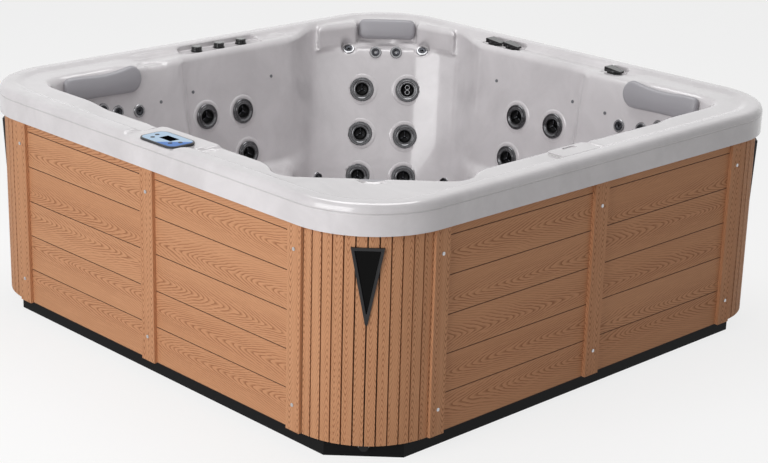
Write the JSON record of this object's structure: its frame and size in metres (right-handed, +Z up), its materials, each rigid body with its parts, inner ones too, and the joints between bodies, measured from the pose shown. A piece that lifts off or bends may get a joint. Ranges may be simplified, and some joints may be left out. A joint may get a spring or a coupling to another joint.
{
  "type": "hot tub",
  "caption": "Square family hot tub with moulded seats, jets, pillows and rim controls in a boarded cabinet with slatted round corners.",
  "frame": {"origin": "middle of the footprint, on the ground under the base pan", "axes": "+Z up; -Y towards the side with the control panel; +X towards the side with the filter lid"},
  "size_m": [2.31, 2.31, 0.915],
  "materials": {
    "acrylic": "polished pale grey acrylic",
    "pan_plastic": "moulded, lightly grained",
    "timber": "sawn softwood",
    "composite_board": "embossed wood-plastic composite",
    "stainless": "brushed",
    "black_plastic": "satin",
    "smoked_lens": "clear and smoked",
    "clear_lens": "clear",
    "foam": "closed-cell foam",
    "pillow_vinyl": "soft skinned foam",
    "graphite_metal": "dark metallic",
    "pipe_plastic": "moulded",
    "overlay_film": "printed film",
    "screen_glass": "glossy",
    "key_rubber": "satin",
    "white_plastic": "moulded",
    "pleated_paper": "pleated spun cloth",
    "motor_paint": "semi-gloss enamel",
    "grey_plastic": "satin"
  },
  "bodies": {
    "tub": {"shell": "acrylic", "base_pan": "pan_plastic", "frame": "timber", "panel_boards": "composite_board", "trim_posts": "composite_board", "corner_slats": "composite_board", "corner_backings": "pan_plastic", "panel_screws": "stainless", "corner_light_bezels": "black_plastic", "corner_light_lenses": "smoked_lens", "footwell_plinth": "foam", "left_pillow": "pillow_vinyl", "right_pillow": "pillow_vinyl", "back_pillow": "pillow_vinyl", "front_pillow": "pillow_vinyl", "large_jet_bodies": "graphite_metal", "jet_lock_nuts": "pipe_plastic", "small_jets": "graphite_metal", "waterline_lights": "clear_lens", "valve_bodies": "black_plastic", "control_housing": "black_plastic", "control_overlay": "overlay_film", "control_screen": "screen_glass", "filter_housing": "white_plastic", "filter_cartridges": "pleated_paper", "suction_covers": "black_plastic", "pump_motor": "motor_paint", "pump_wet_end": "black_plastic", "suction_pipe": "pipe_plastic", "discharge_pipes": "pipe_plastic", "heater": "stainless", "control_box": "grey_plastic", "drain_spigot": "pipe_plastic", "cable_gland": "black_plastic"},
    "left_jet_1": {"left_jet_1": "graphite_metal"},
    "left_jet_2": {"left_jet_2": "graphite_metal"},
    "left_jet_3": {"left_jet_3": "graphite_metal"},
    "back_jet_1": {"back_jet_1": "graphite_metal"},
    "back_jet_2": {"back_jet_2": "graphite_metal"},
    "back_jet_3": {"back_jet_3": "graphite_metal"},
    "back_jet_4": {"back_jet_4": "graphite_metal"},
    "back_jet_5": {"back_jet_5": "graphite_metal"},
    "back_jet_6": {"back_jet_6": "graphite_metal"},
    "right_jet_1": {"right_jet_1": "graphite_metal"},
    "right_jet_2": {"right_jet_2": "graphite_metal"},
    "right_jet_3": {"right_jet_3": "graphite_metal"},
    "air_knob_1": {"air_knob_1": "black_plastic"},
    "air_knob_2": {"air_knob_2": "black_plastic"},
    "air_knob_3": {"air_knob_3": "black_plastic"},
    "diverter_lever_1": {"diverter_lever_1": "black_plastic"},
    "diverter_lever_2": {"diverter_lever_2": "black_plastic"},
    "diverter_lever_3": {"diverter_lever_3": "black_plastic"},
    "warmer_key": {"warmer_key": "key_rubber"},
    "cooler_key": {"cooler_key": "key_rubber"},
    "jets_key": {"jets_key": "key_rubber"},
    "light_key": {"light_key": "key_rubber"},
    "weir_door": {"weir_door": "white_plastic"},
    "filter_lid": {"filter_lid": "acrylic"},
    "pump_rotor": {"pump_rotor": "black_plastic"},
    "drain_cap": {"drain_cap": "black_plastic"}
  },
  "joints": [
    {"name": "left_jet_1_turn", "type": "hinge", "parent": "tub", "child": "left_jet_1", "pos_m": [-0.94086, -0.118, 0.62168], "axis": [0.9903, 0, 0.1392], "range_deg": [0, 110]},
    {"name": "left_jet_2_turn", "type": "hinge", "parent": "tub", "child": "left_jet_2", "pos_m": [-0.93973, 0.08, 0.61368], "axis": [0.9903, 0, 0.1392], "range_deg": [0, 110]},
    {"name": "left_jet_3_turn", "type": "hinge", "parent": "tub", "child": "left_jet_3", "pos_m": [-0.91345, 0.09, 0.42668], "axis": [0.9903, 0, 0.1392], "range_deg": [0, 110]},
    {"name": "back_jet_1_turn", "type": "hinge", "parent": "tub", "child": "back_jet_1", "pos_m": [-0.89717, 0.74867, 0.61551], "axis": [0.6725, -0.6725, 0.309], "continuous": true},
    {"name": "back_jet_2_turn", "type": "hinge", "parent": "tub", "child": "back_jet_2", "pos_m": [-0.75055, 0.89621, 0.61751], "axis": [0.6725, -0.6725, 0.309], "continuous": true},
    {"name": "back_jet_3_turn", "type": "hinge", "parent": "tub", "child": "back_jet_3", "pos_m": [-0.85424, 0.70292, 0.42251], "axis": [0.6725, -0.6725, 0.309], "range_deg": [0, 110]},
    {"name": "back_jet_4_turn", "type": "hinge", "parent": "tub", "child": "back_jet_4", "pos_m": [-0.70838, 0.84556, 0.41551], "axis": [0.6725, -0.6725, 0.309], "range_deg": [0, 110]},
    {"name": "back_jet_5_turn", "type": "hinge", "parent": "tub", "child": "back_jet_5", "pos_m": [-0.81621, 0.6564, 0.23851], "axis": [0.6725, -0.6725, 0.309], "range_deg": [0, 110]},
    {"name": "back_jet_6_turn", "type": "hinge", "parent": "tub", "child": "back_jet_6", "pos_m": [-0.66796, 0.80373, 0.23651], "axis": [0.6725, -0.6725, 0.309], "range_deg": [0, 110]},
    {"name": "right_jet_1_turn", "type": "hinge", "parent": "tub", "child": "right_jet_1", "pos_m": [-0.116, 0.94015, 0.61668], "axis": [0, -0.9903, 0.1392], "range_deg": [0, 110]},
    {"name": "right_jet_2_turn", "type": "hinge", "parent": "tub", "child": "right_jet_2", "pos_m": [0.092, 0.94071, 0.62068], "axis": [0, -0.9903, 0.1392], "range_deg": [0, 110]},
    {"name": "right_jet_3_turn", "type": "hinge", "parent": "tub", "child": "right_jet_3", "pos_m": [-0.139, 0.91387, 0.42968], "axis": [0, -0.9903, 0.1392], "range_deg": [0, 110]},
    {"name": "air_knob_1_turn", "type": "hinge", "parent": "tub", "child": "air_knob_1", "pos_m": [-1.047, -0.09, 0.8884], "axis": [0, 0, 1], "range_deg": [-180, 0]},
    {"name": "air_knob_2_turn", "type": "hinge", "parent": "tub", "child": "air_knob_2", "pos_m": [-1.047, 0.032, 0.8884], "axis": [0, 0, 1], "range_deg": [-180, 0]},
    {"name": "air_knob_3_turn", "type": "hinge", "parent": "tub", "child": "air_knob_3", "pos_m": [-1.047, 0.154, 0.8884], "axis": [0, 0, 1], "range_deg": [-180, 0]},
    {"name": "diverter_lever_1_turn", "type": "hinge", "parent": "tub", "child": "diverter_lever_1", "pos_m": [-0.35, 1.04, 0.8914], "axis": [0, 0, 1], "range_deg": [-60, 60]},
    {"name": "diverter_lever_2_turn", "type": "hinge", "parent": "tub", "child": "diverter_lever_2", "pos_m": [-0.247, 1.04, 0.8914], "axis": [0, 0, 1], "range_deg": [-60, 60]},
    {"name": "diverter_lever_3_turn", "type": "hinge", "parent": "tub", "child": "diverter_lever_3", "pos_m": [0.33, 1.04, 0.8914], "axis": [0, 0, 1], "range_deg": [-60, 60]},
    {"name": "warmer_key_press", "type": "slide", "parent": "tub", "child": "warmer_key", "axis": [0, 0, -1], "range_m": [0, 0.001], "stiffness_N_per_m": 400, "springref_m": -0.0005},
    {"name": "cooler_key_press", "type": "slide", "parent": "tub", "child": "cooler_key", "axis": [0, 0, -1], "range_m": [0, 0.001], "stiffness_N_per_m": 400, "springref_m": -0.0005},
    {"name": "jets_key_press", "type": "slide", "parent": "tub", "child": "jets_key", "axis": [0, 0, -1], "range_m": [0, 0.001], "stiffness_N_per_m": 400, "springref_m": -0.0005},
    {"name": "light_key_press", "type": "slide", "parent": "tub", "child": "light_key", "axis": [0, 0, -1], "range_m": [0, 0.001], "stiffness_N_per_m": 400, "springref_m": -0.0005},
    {"name": "weir_door_tilt", "type": "hinge", "parent": "tub", "child": "weir_door", "pos_m": [0.92693, -0.015, 0.708], "axis": [0, 1, 0], "range_deg": [0, 60]},
    {"name": "filter_lid_open", "type": "hinge", "parent": "tub", "child": "filter_lid", "pos_m": [1.058, -0.015, 0.8938], "axis": [0, 1, 0], "range_deg": [0, 85]},
    {"name": "pump_rotor_spin", "type": "hinge", "parent": "tub", "child": "pump_rotor", "pos_m": [0, -0.8, 0.19], "axis": [1, 0, 0], "continuous": true},
    {"name": "drain_cap_turn", "type": "hinge", "parent": "tub", "child": "drain_cap", "pos_m": [0.9985, -0.9985, 0.042], "axis": [0.7071, -0.7071, 0], "range_deg": [0, 360]}
  ]
}
